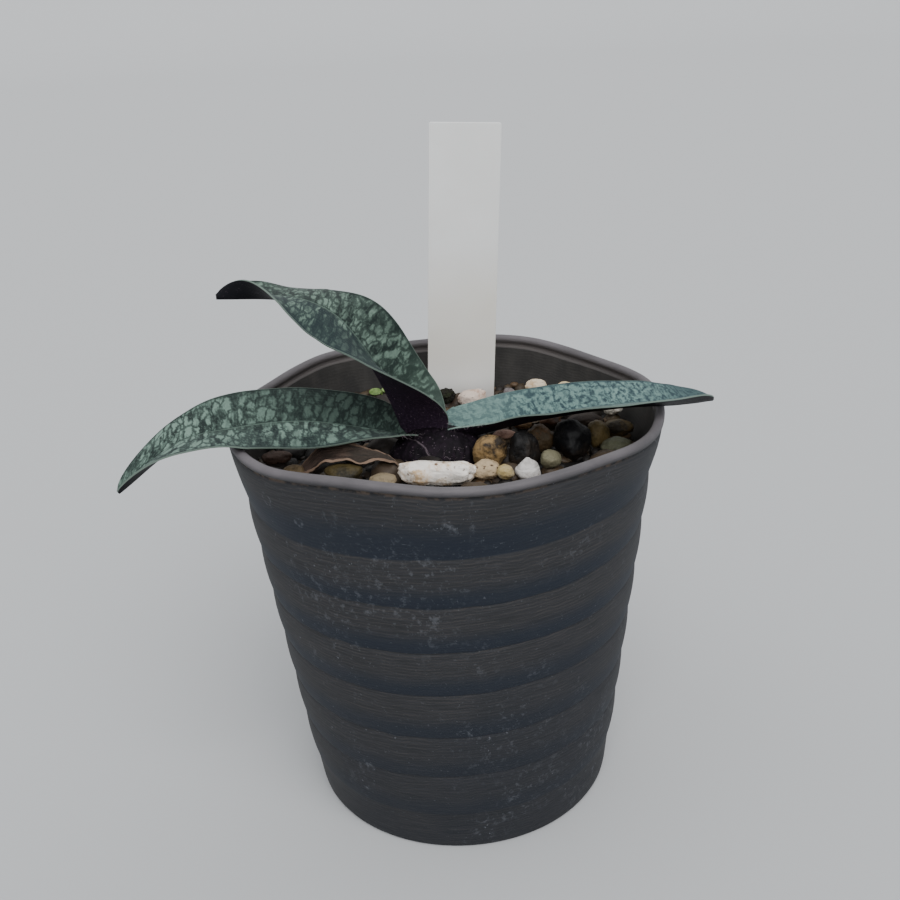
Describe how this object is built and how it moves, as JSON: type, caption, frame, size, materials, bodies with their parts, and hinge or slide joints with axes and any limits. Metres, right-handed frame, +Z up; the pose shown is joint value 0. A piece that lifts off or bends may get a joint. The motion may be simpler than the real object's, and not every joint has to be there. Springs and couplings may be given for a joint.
{
  "type": "potted orchid",
  "caption": "Young slipper orchid with mottled strap leaves and dark sheaths, standing in a ribbed tapered plastic pot filled with mixed grit and pebbles, with a tall blank plant label.",
  "frame": {"origin": "centre of the flat underside of the pot, where the pot's upright axis meets the ground", "axes": "+Z up along the pot's axis, the label leans towards +X, the front of the plant faces -Y"},
  "size_m": [0.118, 0.0898, 0.1408],
  "materials": {
    "pot": "satin",
    "grit": "matte",
    "rootstock": "satin",
    "leaf": "satin",
    "label": "satin",
    "seedling": "matte",
    "dry_leaf": "matte",
    "stone_white": "matte",
    "stone_cream": "matte",
    "stone_black": "satin",
    "stone_brown": "matte",
    "stone_olive": "matte",
    "stone_grey": "matte",
    "stone_amber": "satin",
    "bark": "matte"
  },
  "bodies": {
    "root": {"pot": "pot", "grit_bed": "grit", "rootstock": "rootstock", "leaf_left_low": "leaf", "leaf_right": "leaf", "leaf_left_high": "leaf", "label": "label", "seedling": "seedling", "dry_leaf": "dry_leaf", "stone_white_long": "stone_white", "stone_white_cone": "stone_white", "stone_white_small": "stone_white", "stone_white_back": "stone_white", "stone_pale_flat": "stone_cream", "stone_cream_small": "stone_cream", "stone_cream_back": "stone_cream", "stone_blush": "stone_cream", "stone_pale_left": "stone_cream", "stone_pink_chip": "stone_cream", "stone_black_mid": "stone_black", "stone_black_large": "stone_black", "stone_brown_olive": "stone_brown", "stone_olive_brown": "stone_brown", "stone_dark_brown": "stone_brown", "stone_red_brown": "stone_brown", "stone_flake_left": "stone_brown", "stone_olive_beige": "stone_olive", "stone_olive_tan": "stone_olive", "stone_olive_left": "stone_olive", "stone_tan": "stone_olive", "stone_tan_left": "stone_olive", "stone_grey_green": "stone_grey", "stone_grey_back": "stone_grey", "stone_amber": "stone_amber", "bark_mossy": "bark"}
  },
  "joints": []
}
